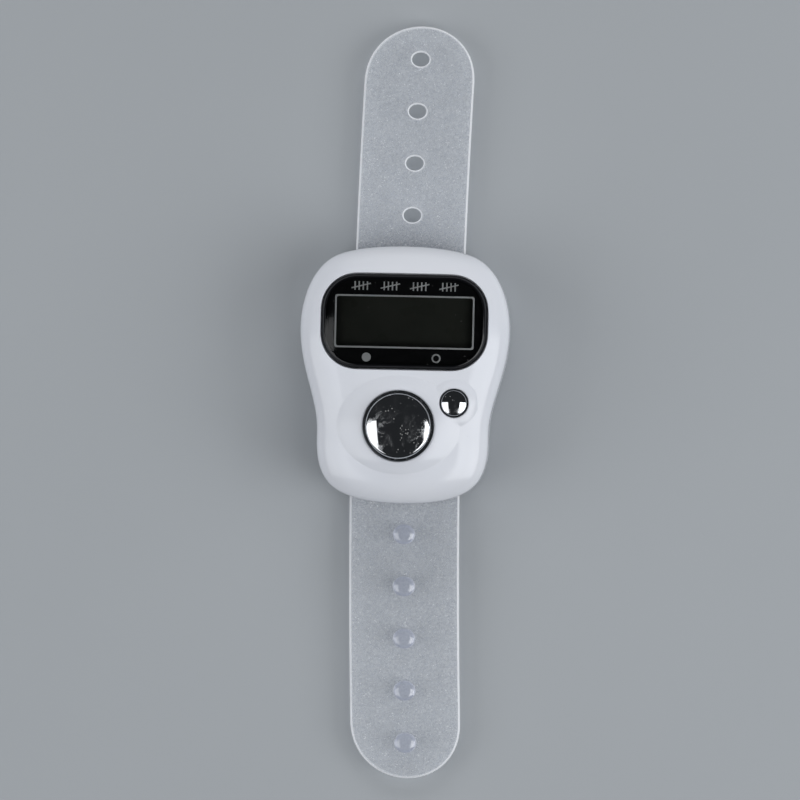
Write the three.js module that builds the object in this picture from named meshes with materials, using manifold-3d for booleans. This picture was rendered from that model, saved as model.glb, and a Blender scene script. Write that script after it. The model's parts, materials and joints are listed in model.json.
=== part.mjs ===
// Finger-worn row counter: a small electronic tally counter on a soft band with snap studs.
// Millimetres. +Z is up through the display, +Y runs from the count button towards the display.
// The origin is on the resting plane, under the middle of the band.
import * as THREE from 'three';
import { mergeVertices } from 'three/addons/utils/BufferGeometryUtils.js';
import Module from 'manifold-3d';

const wasm = await Module();
wasm.setup();

// ---------------------------------------------------------------- driving dimensions

const CASE_Y = 4.1; // centre of the case along the band
const CASE_TOP = 12.75; // crest of the crowned front
const CROWN_R = 110; // sideways crown of the front
const EDGE_R = 2.9; // rolled edge between wall and front
const WALL = 1.3;
const DRAFT = 0.15;
const BACK_TOP = 4.1; // top of the back cover's wall
const FRONT_BOTTOM = 4.3; // bottom of the front case's wall
const BACK_FLOOR = 3.6; // inner floor of the back cover
const LIP_TOP = 5.1;
const LIP_OUTER = 1.42; // insets of the locating lip from the outline
const LIP_INNER = 2.15;

const CHANNEL_HALF = 9.2; // half width of the band channel
const CHANNEL_TOP = 2.6;
const BRIDGE_TOP = 1.1;
const BRIDGE_HALF_X = CHANNEL_HALF + 0.4;
const BRIDGE_HALF_Y = 2.25;
const BRIDGE_Y = [-9.6, 17.8];

const LENS = { y: 12.05, halfX: 12.45, halfY: 7.35, thick: 1, gap: 0.15, power: 3.4 };
const WINDOW = { halfX: 10.5, halfY: 4, corner: 0.6 };
const MASK_THICK = 0.1;
const TAPE_THICK = 0.15;
const LAYER_GAP = 0.03;
const SEAT_THICK = 0.5;
const SEAT_LEDGE = 1.35; // width of the ledge that carries the lens
const SEAT_TOP = LENS.thick + MASK_THICK + TAPE_THICK + 3 * LAYER_GAP; // depth below the crown
const FILM_TRIM = 0.3; // how far the mask and the tape stop short of the lens's edge

// Radii of hole, cap, flange and stem, then heights, and the rim's bevel and the top's doming.
const COUNT = {
  x: -0.5, y: -3.6, hole: 5.35, cap: 4.87, flange: 6, stem: 2.4,
  stemLow: 9.84, flangeLow: 10.1, flangeHigh: 10.8, top: 15, bevel: 0.32, crown: 0.45, segments: 36,
};
const RESET = {
  x: 7.75, y: 0, hole: 2.18, cap: 1.9, flange: 2.75, stem: 1.2,
  stemLow: 9.34, flangeLow: 9.6, flangeHigh: 10.2, top: 13.5, bevel: 0.22, crown: 0.25, segments: 24,
};
// Half axes of the ellipsoid under each button, its depth below the front, and its shift in Y.
const COUNT_MOUND = { a: 11.8, b: 9.4, c: 3.8, sink: 2.6, shift: -0.75 };
const RESET_MOUND = { a: 4.5, b: 4.5, c: 1.6, sink: 1, shift: 0 };

const BOARD_TOP = 8;
const BOARD_THICK = 0.75;
// Right half of the board's outline, from its foot to its head.
const BOARD_OUTLINE = [[8.4, -12.4], [8.4, -5.7], [10.2, -5.7], [10.2, 5.6], [11.7, 5.6], [11.7, 18.15]];
const CHIP = { x: -3, y: 12.2, r: 2.9, height: 0.5 };
const CAPACITOR = { x: 4.5, y: 12.6, halfX: 0.8, halfY: 0.4, height: 0.5 };
const RESISTOR = { x: 7.8, y: 13.8, halfX: 0.8, halfY: 0.4, height: 0.4 };

// The keypad's silicone domes, with foot and crest radii, and the carbon pills under the buttons.
const DOME_SKIN = 0.4;
const COUNT_DOME = { footR: 4.4, crestR: 2.6, crest: 9.8 };
const RESET_DOME = { footR: 2.4, crestR: 1.3, crest: 9.3 };
const COUNT_PILL = { r: 1.8, low: 8.95, high: 9.35 };
const RESET_PILL = { r: 0.9, low: 8.65, high: 8.86 };

// The display's layers between their lower and upper faces; the ledge carries its contacts.
const LCD = { halfX: 10.8, y0: 6.8, y1: 17.4, ledge: 1.8 };
const POLARISER = [9.7, 9.8];
const FRONT_GLASS = [9.2, 9.68];
const REAR_GLASS = [8.72, 9.18];
const REFLECTOR = [8.58, 8.7];
const LCD_FRAME = { wall: 0.75, gap: 0.1, top: 9.2, corner: 0.5 };

const CELL = { x: 0, y: 10, r: 5.8, z: 3.9, height: 3.1 };
const CELL_CAP_R = 4.55;
const CELL_CAP_LOW = 2.2; // the cap's and the seal's lowest point above the can's
const CLIP = { floor: 3.66, strip: 0.18, halfX: 6.35, footX: 7.6, halfY: 1.5 };
const LEAF_PATH = [[-3, 7.2], [-1.6, 7.17], [0, 7.17], [1.4, 7.22], [4.4, 7.22]];
const LEAF_THICK = 0.12;
const LEAF_WIDTH = 2.4;

const CASE_SCREWS = [[-10.8, -8], [10.8, -8], [-10.6, 20], [10.6, 20]];
const BOARD_SCREWS = [[-8.2, 2.4], [6.9, -9.6]];
const CASE_SCREW = { head: 0.55, headR: 1.1, headHeight: 0.85, shankR: 0.65, tip: 7.9 };
const BOARD_SCREW = { head: 6.5, headR: 1.05, headHeight: 0.7, shankR: 0.48, tip: 10 };
const CASE_BOSS_R = 1.75;
const CASE_TOWER_R = 1.6;
const CASE_PILOT = { r: 0.72, high: 8.4 };
const CASE_WAY = { r: 0.85, headR: 1.2, headHigh: 1.5 };
const BOARD_BOSS_R = 1.3;
const BOARD_PILOT = { r: 0.55, high: 10.6 };
const BOARD_WAY_R = 0.75;

const BAND = { halfX: 8.6, bottom: 1.35, thick: 1, half: 57.85, bow: 1.3, shift: 0.2, endR: 7.6 };
const PITCH = 8;
const HOLE = { first: 20.75, rx: 1.35, ry: 1.1 };
const STUD = { first: -20.3, rx: 1.72, ry: 1.42, height: 1.45, neck: 0.72, root: 0.4 };
const LINK_GAP = 0.3;
const STUD_HINGES = [-16.5, -24.3, -32.3, -40.3, -48.3];
const HOLE_HINGES = [24.75, 32.75, 40.75, 48.75];

// ---------------------------------------------------------------- materials

const paint = (color, roughness, metalness = 0) =>
  new THREE.MeshStandardMaterial({ color, roughness, metalness });

const WHITE_ABS = paint(0xe6e9ee, 0.22);
const CLEAR = paint(0x111214, 0.05);
const BLACK_INK = paint(0x050506, 0.5);
const TAPE = paint(0xdedbd0, 0.7);
const GLASS = paint(0x2a2f2c, 0.08);
const FILM = paint(0x23261f, 0.35);
const FRAME_PLASTIC = paint(0x1d1d1f, 0.55);
const SILICONE = paint(0x8e9196, 0.7);
const CARBON = paint(0x141414, 0.9);
const BOARD_GREEN = paint(0x14532d, 0.45);
const EPOXY = paint(0x0b0b0c, 0.35);
const CERAMIC = paint(0x9a7b55, 0.5);
const STEEL = paint(0xb9bcc0, 0.3, 1);
const CHROME = paint(0xd8dadd, 0.06, 1);
const NYLON = paint(0x3b4a66, 0.5);
const BAND_TPU = paint(0xb9bec6, 0.45);

// ---------------------------------------------------------------- solids and joins

function toSolid(geometry) {
  geometry.deleteAttribute('normal');
  geometry.deleteAttribute('uv');
  const merged = mergeVertices(geometry, 1e-4);
  const vertProperties = new Float32Array(merged.attributes.position.array);
  const triVerts = new Uint32Array(merged.index.array);
  return new wasm.Manifold(new wasm.Mesh({ numProp: 3, vertProperties, triVerts }));
}

function toGeometry(solid) {
  const mesh = solid.getMesh();
  const geometry = new THREE.BufferGeometry();
  geometry.setAttribute('position', new THREE.BufferAttribute(mesh.vertProperties, 3));
  geometry.setIndex(new THREE.BufferAttribute(mesh.triVerts, 1));
  geometry.computeVertexNormals();
  return geometry;
}

const join = (...solids) => solids.reduce((all, solid) => all.add(solid));
const cut = (solid, ...tools) => tools.reduce((rest, tool) => rest.subtract(tool), solid);

function prism(shape, low, high, curveSegments = 12) {
  const options = { depth: high - low, bevelEnabled: false, curveSegments };
  const geometry = new THREE.ExtrudeGeometry(shape, options);
  geometry.translate(0, 0, low);
  return toSolid(geometry);
}

// Cuts the display side of the case from well below its front to well above it.
const frontPrism = (shape, curveSegments) =>
  prism(shape, BOARD_TOP, CASE_TOP + 1, curveSegments);

function box(x0, x1, y0, y1, z0, z1) {
  const geometry = new THREE.BoxGeometry(x1 - x0, y1 - y0, z1 - z0);
  geometry.translate((x0 + x1) / 2, (y0 + y1) / 2, (z0 + z1) / 2);
  return toSolid(geometry);
}

function post(x, y, r, low, high, segments = 24) {
  const geometry = new THREE.CylinderGeometry(r, r, high - low, segments);
  geometry.rotateX(Math.PI / 2);
  geometry.translate(x, y, (low + high) / 2);
  return toSolid(geometry);
}

// A solid of revolution about the vertical through x, y; the profile is [radius, height] pairs.
function turned(x, y, profile, segments = 32) {
  const points = profile.map(([r, z]) => new THREE.Vector2(r, z));
  const geometry = new THREE.LatheGeometry(points, segments);
  geometry.rotateX(Math.PI / 2);
  geometry.translate(x, y, 0);
  return toSolid(geometry);
}

function ellipsoid(x, y, z, a, b, c, columns = 28, rows = 14) {
  const geometry = new THREE.SphereGeometry(1, columns, rows);
  geometry.rotateX(Math.PI / 2);
  geometry.scale(a, b, c);
  geometry.translate(x, y, z);
  return toSolid(geometry);
}

// A closed skin over a stack of rings with equal point counts, from the lowest ring to the highest.
function loft(rings) {
  const count = rings[0].length;
  const centre = (ring) => ring.reduce((sum, p) => sum.add(p), new THREE.Vector3()).divideScalar(count);
  const points = [...rings.flat(), centre(rings[0]), centre(rings.at(-1))];
  const foot = points.length - 2;
  const crest = points.length - 1;
  const index = [];
  for (let i = 0; i < count; i++) {
    const next = (i + 1) % count;
    index.push(foot, next, i);
    for (let ring = 0; ring < rings.length - 1; ring++) {
      const low = ring * count;
      const high = low + count;
      index.push(low + i, low + next, high + next, low + i, high + next, high + i);
    }
    const last = (rings.length - 1) * count;
    index.push(crest, last + i, last + next);
  }
  const geometry = new THREE.BufferGeometry().setFromPoints(points);
  geometry.setIndex(index);
  return toSolid(geometry);
}

function roundedRect(x, y, halfX, halfY, r) {
  const shape = new THREE.Shape();
  shape.moveTo(x + halfX - r, y - halfY);
  shape.absarc(x + halfX - r, y - halfY + r, r, -Math.PI / 2, 0);
  shape.absarc(x + halfX - r, y + halfY - r, r, 0, Math.PI / 2);
  shape.absarc(x - halfX + r, y + halfY - r, r, Math.PI / 2, Math.PI);
  shape.absarc(x - halfX + r, y - halfY + r, r, Math.PI, Math.PI * 1.5);
  return shape;
}

// ---------------------------------------------------------------- outlines

// Right half of the case's outline, from its foot to its head, about the case's own centre.
const OUTLINE_SPANS = [
  [[0, -19.55], [3.5, -19.55], [6.3, -19.2], [8.4, -18.4], 4],
  [[8.4, -18.4], [12, -17.1], [13.35, -14.2], [13.1, -8.9], 6],
  [[13.1, -8.9], [12.95, -4.2], [16, 0.6], [16, 6.9], 7],
  [[16, 6.9], [16, 12.4], [13.6, 17], [10.2, 18.25], 8],
  [[10.2, 18.25], [8, 19.05], [4.6, 19.55], [0, 19.55], 4],
];

// Points round the case's outline, moved inwards by inset.
function caseOutline(inset) {
  const right = OUTLINE_SPANS.flatMap(([a, b, c, d, steps]) => {
    const curve = new THREE.CubicBezierCurve(
      new THREE.Vector2(...a), new THREE.Vector2(...b), new THREE.Vector2(...c), new THREE.Vector2(...d));
    return Array.from({ length: steps }, (_, i) => {
      const tangent = curve.getTangent(i / steps);
      const point = curve.getPoint(i / steps);
      return new THREE.Vector2(point.x - tangent.y * inset, point.y + tangent.x * inset);
    });
  });
  right[0].x = 0;
  const head = new THREE.Vector2(0, OUTLINE_SPANS.at(-1)[3][1] - inset);
  const left = right.slice(1).reverse().map((p) => new THREE.Vector2(-p.x, p.y));
  return [...right, head, ...left];
}

function caseRing(inset, heightAt, scale = 1) {
  return caseOutline(inset).map((p) => {
    const x = p.x * scale;
    return new THREE.Vector3(x, CASE_Y + p.y * scale, heightAt(x));
  });
}

const crownDrop = (x) => CROWN_R - Math.sqrt(CROWN_R ** 2 - x ** 2);

// Everything below the crown, lowered by depth, as flat strips along the case.
function belowCrown(depth) {
  const reach = 20;
  const strips = 10;
  const shape = new THREE.Shape();
  shape.moveTo(-reach, -5);
  shape.lineTo(reach, -5);
  for (let i = 0; i <= strips; i++) {
    const x = reach - (2 * reach * i) / strips;
    shape.lineTo(x, CASE_TOP - crownDrop(x) - depth);
  }
  const geometry = new THREE.ExtrudeGeometry(shape, { depth: 60, bevelEnabled: false });
  geometry.rotateX(Math.PI / 2);
  geometry.translate(0, CASE_Y + 30, 0);
  return toSolid(geometry);
}

// The lens's outline is a superellipse, so its corners run softly into its sides.
function lensShape(grow) {
  const steps = 40;
  const shape = new THREE.Shape();
  const soften = (value) => Math.sign(value) * Math.abs(value) ** (2 / LENS.power);
  for (let i = 0; i < steps; i++) {
    const turn = (2 * Math.PI * i) / steps;
    const x = (LENS.halfX + grow) * soften(Math.cos(turn));
    const y = LENS.y + (LENS.halfY + grow) * soften(Math.sin(turn));
    if (i === 0) shape.moveTo(x, y);
    else shape.lineTo(x, y);
  }
  return shape;
}

// ---------------------------------------------------------------- case

function rolledRings(wallInset, bottom, roof, edgeR) {
  const steps = 4;
  const rings = [caseRing(wallInset, () => bottom)];
  for (let i = 0; i <= steps; i++) {
    const turn = (Math.PI / 2) * (i / steps);
    const inset = wallInset + DRAFT + edgeR * (1 - Math.cos(turn));
    rings.push(caseRing(inset, (x) => CASE_TOP - crownDrop(x) - roof - edgeR * (1 - Math.sin(turn))));
  }
  const innermost = wallInset + DRAFT + edgeR;
  for (const scale of [0.6, 0.25]) {
    rings.push(caseRing(innermost, (x) => CASE_TOP - crownDrop(x) - roof, scale));
  }
  return rings;
}

function mound(button, size) {
  const base = CASE_TOP - crownDrop(button.x);
  return ellipsoid(button.x, button.y + size.shift, base - size.sink, size.a, size.b, size.c);
}

function frontCase() {
  const body = loft(rolledRings(0, FRONT_BOTTOM, 0, EDGE_R));
  const skin = join(body, mound(COUNT, COUNT_MOUND), mound(RESET, RESET_MOUND));
  const seatRim = 1.2;
  const seat = cut(frontPrism(lensShape(seatRim)), belowCrown(SEAT_TOP + SEAT_THICK));
  const bossLow = LIP_TOP + 0.3;
  const caseBosses = CASE_SCREWS.map(([x, y]) => post(x, y, CASE_BOSS_R, bossLow, CASE_TOP));
  const boardLow = BOARD_TOP + LAYER_GAP;
  const boardPosts = BOARD_SCREWS.map(([x, y]) => post(x, y, BOARD_BOSS_R, boardLow, CASE_TOP));
  const cavity = loft(rolledRings(WALL, FRONT_BOTTOM - 1, WALL, EDGE_R - 1));
  const hollow = cut(cavity, seat, ...caseBosses, ...boardPosts);
  const recess = cut(frontPrism(lensShape(LENS.gap)), belowCrown(SEAT_TOP));
  const opening = frontPrism(lensShape(-SEAT_LEDGE));
  const buttonHoles = [COUNT, RESET].map(({ x, y, hole, segments }) =>
    post(x, y, hole, BOARD_TOP, COUNT.top + 1, segments));
  const pilotLow = BOARD_TOP - 0.5;
  const pilots = [
    ...CASE_SCREWS.map(([x, y]) => post(x, y, CASE_PILOT.r, FRONT_BOTTOM - 1, CASE_PILOT.high, 12)),
    ...BOARD_SCREWS.map(([x, y]) => post(x, y, BOARD_PILOT.r, pilotLow, BOARD_PILOT.high, 12)),
  ];
  return cut(skin, hollow, recess, opening, ...buttonHoles, ...pilots);
}

function backCover() {
  const footRings = [[0.9, 0], [0.26, 0.26], [0, 0.9], [0, BACK_TOP]];
  const shell = loft(footRings.map(([inset, z]) => caseRing(inset, () => z)));
  const rooted = BACK_FLOOR - 0.6; // where the pieces that stand on the floor start inside it
  const plug = (inset, low, high) => loft([low, high].map((z) => caseRing(inset, () => z)));
  const lip = plug(LIP_OUTER, rooted, LIP_TOP);
  const pocket = plug(LIP_INNER, BACK_FLOOR, LIP_TOP + 1);
  const towers = CASE_SCREWS.map(([x, y]) =>
    post(x, y, CASE_TOWER_R, rooted, LIP_TOP).intersect(lip));
  const ringTop = 6;
  const ringOuter = post(CELL.x, CELL.y, CELL.r + 1.4, rooted, ringTop, 32);
  const ringInner = post(CELL.x, CELL.y, CELL.r + 0.8, BACK_FLOOR, ringTop + 1, 32);
  const cellRing = cut(ringOuter, ringInner);
  const channel = box(-CHANNEL_HALF, CHANNEL_HALF, -30, 40, -1, CHANNEL_TOP);
  const bridges = BRIDGE_Y.map((y) =>
    box(-BRIDGE_HALF_X, BRIDGE_HALF_X, y - BRIDGE_HALF_Y, y + BRIDGE_HALF_Y, 0, BRIDGE_TOP));
  const screwWays = CASE_SCREWS.flatMap(([x, y]) => [
    post(x, y, CASE_WAY.headR, -1, CASE_WAY.headHigh, 20),
    post(x, y, CASE_WAY.r, 0, LIP_TOP + 1, 12),
  ]);
  const hollowed = cut(join(shell, lip), pocket, channel);
  return cut(join(hollowed, ...towers, cellRing, ...bridges), ...screwWays);
}

// ---------------------------------------------------------------- lens and display

const crownedLayer = (shape, top, thick) =>
  cut(frontPrism(shape), belowCrown(top + thick)).intersect(belowCrown(top));

const displayLens = () => crownedLayer(lensShape(0), 0, LENS.thick);

function lensMask() {
  const sheet = crownedLayer(lensShape(-FILM_TRIM), LENS.thick + LAYER_GAP, MASK_THICK);
  const window = roundedRect(0, LENS.y, WINDOW.halfX, WINDOW.halfY, WINDOW.corner);
  return cut(sheet, frontPrism(window, 3));
}

function lensTape() {
  const depth = LENS.thick + MASK_THICK + 2 * LAYER_GAP;
  const sheet = crownedLayer(lensShape(-FILM_TRIM), depth, TAPE_THICK);
  return cut(sheet, frontPrism(lensShape(-SEAT_LEDGE)));
}

// One layer of the display, trimmed back from the glass's sides.
const lcdLayer = (trimX, y0, y1, [low, high]) =>
  box(-LCD.halfX + trimX, LCD.halfX - trimX, y0, y1, low, high);

function lcdFrame() {
  const { wall, gap, top, corner } = LCD_FRAME;
  const centre = (LCD.y0 + LCD.y1) / 2;
  const innerX = LCD.halfX + gap;
  const innerY = (LCD.y1 - LCD.y0) / 2 + gap;
  const outer = prism(roundedRect(0, centre, innerX + wall, innerY + wall, corner), BOARD_TOP, top, 3);
  return cut(outer, box(-innerX, innerX, centre - innerY, centre + innerY, BOARD_TOP - 1, top + 1));
}

// ---------------------------------------------------------------- board and its parts

function circuitBoard() {
  const right = BOARD_OUTLINE.map(([x, y]) => new THREE.Vector2(x, y));
  const left = [...right].reverse().map((p) => new THREE.Vector2(-p.x, p.y));
  const board = prism(new THREE.Shape([...right, ...left]), BOARD_TOP - BOARD_THICK, BOARD_TOP);
  const holes = BOARD_SCREWS.map(([x, y]) =>
    post(x, y, BOARD_WAY_R, BOARD_TOP - BOARD_THICK - 1, BOARD_TOP + 1, 12));
  return cut(board, ...holes);
}

// A drop of epoxy that has spread and sagged over its chip.
function chipBlob() {
  const { x, y, r, height } = CHIP;
  const profile = [[0, 0], [r, 0], [r * 0.9, height * 0.5], [r * 0.6, height * 0.88], [0, height]];
  return turned(x, y, profile.map(([out, up]) => [out, BOARD_TOP + up]), 20);
}

const onBoard = ({ x, y, halfX, halfY, height }) =>
  box(x - halfX, x + halfX, y - halfY, y + halfY, BOARD_TOP, BOARD_TOP + height);

function dome(button, { footR, crestR, crest }) {
  const footWidth = 0.7;
  const webTop = BOARD_TOP + DOME_SKIN;
  return turned(button.x, button.y, [
    [footR - footWidth, BOARD_TOP],
    [footR, BOARD_TOP],
    [footR, webTop],
    [crestR + DOME_SKIN, crest - DOME_SKIN],
    [crestR, crest],
    [0, crest],
    [0, crest - DOME_SKIN],
    [crestR - DOME_SKIN / 2, crest - DOME_SKIN],
    [footR - footWidth - DOME_SKIN, webTop],
    [footR - footWidth, BOARD_TOP],
  ], 28);
}

const pill = (button, { r, low, high }) =>
  turned(button.x, button.y, [[0, low], [r, low], [r, high], [0, high]], 20);

// A capped plunger: chromed top with a bevelled rim, a retaining flange and a stem down to its dome.
function buttonCap({ x, y, cap, flange, stem, stemLow, flangeLow, flangeHigh, top, bevel, crown, segments }) {
  return turned(x, y, [
    [0, stemLow],
    [stem, stemLow],
    [stem, flangeLow],
    [flange, flangeLow],
    [flange, flangeHigh],
    [cap, flangeHigh],
    [cap, top - crown - bevel],
    [cap - bevel, top - crown],
    [cap * 0.68, top - crown * 0.45],
    [cap * 0.36, top - crown * 0.12],
    [0, top],
  ], segments);
}

// ---------------------------------------------------------------- cell and contacts

function cellCan() {
  const { x, y, r, z } = CELL;
  return turned(x, y, [
    [0, z], [r - 0.3, z], [r, z + 0.3], [r, z + 2.6], [r - 0.35, z + 2.95], [r - 0.75, z + 2.95],
    [r - 0.75, z + 2.75], [r - 0.3, z + 2.5], [r - 0.3, z + 0.3], [0, z + 0.3],
  ], 40);
}

function cellSeal() {
  const { x, y, r, z } = CELL;
  const inner = CELL_CAP_R + 0.05;
  const low = z + CELL_CAP_LOW;
  const high = z + 2.88;
  return turned(x, y, [
    [inner, low], [r - 0.4, low], [r - 0.4, z + 2.42], [r - 0.82, z + 2.66], [r - 0.82, high],
    [inner, high], [inner, low],
  ], 32);
}

function cellCap() {
  const { x, y, z, height } = CELL;
  const low = z + CELL_CAP_LOW;
  const high = z + height;
  const bevel = 0.15;
  return turned(x, y, [
    [0, low], [CELL_CAP_R, low], [CELL_CAP_R, high - bevel], [CELL_CAP_R - bevel, high], [0, high],
  ], 32);
}

// A bent strip of constant thickness whose path, in X and Z, is extruded along Y.
function bentStrip(path, thick, y, width) {
  const shape = new THREE.Shape();
  const upper = path.map(([x, z]) => new THREE.Vector2(x, z));
  const side = (i) => {
    const before = upper[Math.max(i - 1, 0)];
    const after = upper[Math.min(i + 1, upper.length - 1)];
    const along = after.clone().sub(before).normalize();
    return new THREE.Vector2(-along.y, along.x).multiplyScalar(thick);
  };
  const lower = upper.map((p, i) => p.clone().sub(side(i))).reverse();
  shape.setFromPoints([...upper, ...lower]);
  const geometry = new THREE.ExtrudeGeometry(shape, { depth: width, bevelEnabled: false });
  geometry.rotateX(Math.PI / 2);
  geometry.translate(CELL.x, y + width / 2, 0);
  return toSolid(geometry);
}

// A strap under the cell that bends up on both sides of it to feet below the board.
function positiveClip() {
  const { floor, strip, halfX, footX, halfY } = CLIP;
  const top = BOARD_TOP - BOARD_THICK - LAYER_GAP;
  const bar = (x0, x1, z0, z1) => box(x0, x1, CELL.y - halfY, CELL.y + halfY, z0, z1);
  const inner = halfX - strip;
  return join(
    bar(-halfX, halfX, floor, floor + strip),
    bar(-halfX, -inner, floor, top),
    bar(inner, halfX, floor, top),
    bar(-footX, -inner, top - strip, top),
    bar(inner, footX, top - strip, top),
  );
}

const negativeLeaf = () => bentStrip(LEAF_PATH, LEAF_THICK, CELL.y, LEAF_WIDTH);

// ---------------------------------------------------------------- screws

// A self-tapping screw driven upwards, with a cross recess in its head.
function screw([x, y], { head, headR, headHeight, shankR, tip }) {
  const body = turned(x, y, [
    [0, head], [headR * 0.8, head], [headR, head + headHeight * 0.4], [headR, head + headHeight],
    [shankR, head + headHeight], [shankR, tip - 0.5], [0.25, tip], [0, tip],
  ], 16);
  const arm = headR * 0.55;
  const slot = headR * 0.13;
  const deep = head + headHeight * 0.45;
  return cut(body,
    box(x - arm, x + arm, y - slot, y + slot, head - 1, deep),
    box(x - slot, x + slot, y - arm, y + arm, head - 1, deep));
}

// ---------------------------------------------------------------- band

// The soft band bows slightly sideways towards both ends.
const bandX = (y) => BAND.shift + BAND.bow * (y / BAND.half) ** 2;

// Half width of the band, which rounds off at its two ends.
function bandHalfWidth(y) {
  const past = Math.abs(y) - (BAND.half - BAND.endR);
  if (past <= 0) return BAND.halfX;
  return BAND.halfX * Math.sqrt(Math.max(0, 1 - (past / BAND.endR) ** 2.4));
}

function bandShape(y0, y1) {
  const steps = Math.max(2, Math.ceil((y1 - y0) / 4));
  const stations = Array.from({ length: steps + 1 }, (_, i) => y0 + ((y1 - y0) * i) / steps);
  const roundEnd = BAND.half - BAND.endR;
  for (const part of [0.3, 0.5, 0.68, 0.82, 0.92, 0.975]) {
    for (const y of [roundEnd + BAND.endR * part, -roundEnd - BAND.endR * part]) {
      if (y > y0 && y < y1) stations.push(y);
    }
  }
  stations.sort((a, b) => a - b);
  const tips = stations.filter((y) => bandHalfWidth(y) > 0.01 || Math.abs(y) === BAND.half);
  const right = tips.map((y) => new THREE.Vector2(bandX(y) + bandHalfWidth(y), y));
  const left = tips.map((y) => new THREE.Vector2(bandX(y) - bandHalfWidth(y), y)).reverse();
  const outline = [...right, ...left].filter((p, i, all) => i === 0 || p.distanceTo(all[i - 1]) > 0.01);
  return new THREE.Shape(outline);
}

const bandStrip = (y0, y1) => prism(bandShape(y0, y1), BAND.bottom, BAND.bottom + BAND.thick);

function snapHole(y) {
  const geometry = new THREE.CylinderGeometry(1, 1, 4, 20);
  geometry.rotateX(Math.PI / 2);
  geometry.scale(HOLE.rx, HOLE.ry, 1);
  geometry.translate(bandX(y), y, BAND.bottom + BAND.thick / 2);
  return toSolid(geometry);
}

// A mushroom stud: a short neck under a domed oval head.
function snapStud(y) {
  const base = BAND.bottom + BAND.thick;
  const { rx, ry, height, neck, root } = STUD;
  const profile = [
    [0, -root], [neck, -root], [neck, 0.5], [1, 0.7], [0.97, 0.95], [0.8, 1.2], [0.45, 1.39], [0, height],
  ];
  const geometry = new THREE.LatheGeometry(profile.map(([r, z]) => new THREE.Vector2(r, z)), 20);
  geometry.rotateX(Math.PI / 2);
  geometry.scale(rx, ry, 1);
  geometry.translate(bandX(y), y, base);
  return toSolid(geometry);
}

function holeLink(number) {
  const low = HOLE_HINGES[number - 1] + LINK_GAP / 2;
  const high = number < HOLE_HINGES.length ? HOLE_HINGES[number] - LINK_GAP / 2 : BAND.half;
  return cut(bandStrip(low, high), snapHole(HOLE.first + PITCH * number));
}

function studLink(number) {
  const high = STUD_HINGES[number - 1] - LINK_GAP / 2;
  const low = number < STUD_HINGES.length ? STUD_HINGES[number] + LINK_GAP / 2 : -BAND.half;
  return join(bandStrip(low, high), snapStud(STUD.first - PITCH * (number - 1)));
}

function middleLink() {
  const low = STUD_HINGES[0] + LINK_GAP / 2;
  const high = HOLE_HINGES[0] - LINK_GAP / 2;
  return cut(bandStrip(low, high), snapHole(HOLE.first));
}

// ---------------------------------------------------------------- assembly

const counter = new THREE.Group();

function addPiece(name, solid, material) {
  const mesh = new THREE.Mesh(toGeometry(solid), material);
  mesh.name = name;
  counter.add(mesh);
}

addPiece('front_case', frontCase(), WHITE_ABS);
addPiece('back_cover', backCover(), WHITE_ABS);
addPiece('display_lens', displayLens(), CLEAR);
addPiece('lens_mask', lensMask(), BLACK_INK);
addPiece('lens_tape', lensTape(), TAPE);

const LEDGE_END = LCD.y0 + LCD.ledge;
addPiece('lcd_polariser', lcdLayer(0.2, LCD.y0 + LCD.ledge / 2, LCD.y1 - 0.4, POLARISER), FILM);
addPiece('lcd_front_glass', lcdLayer(0, LCD.y0, LCD.y1, FRONT_GLASS), GLASS);
addPiece('lcd_rear_glass', lcdLayer(0, LEDGE_END, LCD.y1, REAR_GLASS), GLASS);
addPiece('lcd_reflector', lcdLayer(0.4, LEDGE_END + 0.2, LCD.y1 - 0.4, REFLECTOR), FILM);
addPiece('lcd_frame', lcdFrame(), FRAME_PLASTIC);
addPiece('zebra_strip', lcdLayer(0.3, LCD.y0 + 0.1, LEDGE_END - 0.2, [BOARD_TOP, REAR_GLASS[1]]), SILICONE);

addPiece('circuit_board', circuitBoard(), BOARD_GREEN);
addPiece('chip_blob', chipBlob(), EPOXY);
addPiece('capacitor', onBoard(CAPACITOR), CERAMIC);
addPiece('resistor', onBoard(RESISTOR), EPOXY);

addPiece('count_button', buttonCap(COUNT), CHROME);
addPiece('reset_button', buttonCap(RESET), CHROME);
addPiece('count_dome', dome(COUNT, COUNT_DOME), SILICONE);
addPiece('reset_dome', dome(RESET, RESET_DOME), SILICONE);
addPiece('count_pill', pill(COUNT, COUNT_PILL), CARBON);
addPiece('reset_pill', pill(RESET, RESET_PILL), CARBON);

addPiece('cell_can', cellCan(), STEEL);
addPiece('cell_seal', cellSeal(), NYLON);
addPiece('cell_cap', cellCap(), STEEL);
addPiece('positive_clip', positiveClip(), STEEL);
addPiece('negative_leaf', negativeLeaf(), STEEL);

CASE_SCREWS.forEach((place, i) => addPiece(`case_screw_${i + 1}`, screw(place, CASE_SCREW), STEEL));
BOARD_SCREWS.forEach((place, i) => addPiece(`board_screw_${i + 1}`, screw(place, BOARD_SCREW), STEEL));

addPiece('strap_middle', middleLink(), BAND_TPU);
for (let number = 1; number <= HOLE_HINGES.length; number++) {
  addPiece(`strap_hole_${number}`, holeLink(number), BAND_TPU);
}
for (let number = 1; number <= STUD_HINGES.length; number++) {
  addPiece(`strap_stud_${number}`, studLink(number), BAND_TPU);
}

export default counter;
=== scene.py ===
# Looks of the finger-worn row counter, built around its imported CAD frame.
# Shapes are worked out in millimetres in the row frame and scaled to metres when a piece is made.
import json
import math

import bpy
import numpy as np
from mathutils import Matrix, Vector
from mathutils.geometry import delaunay_2d_cdt


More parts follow.
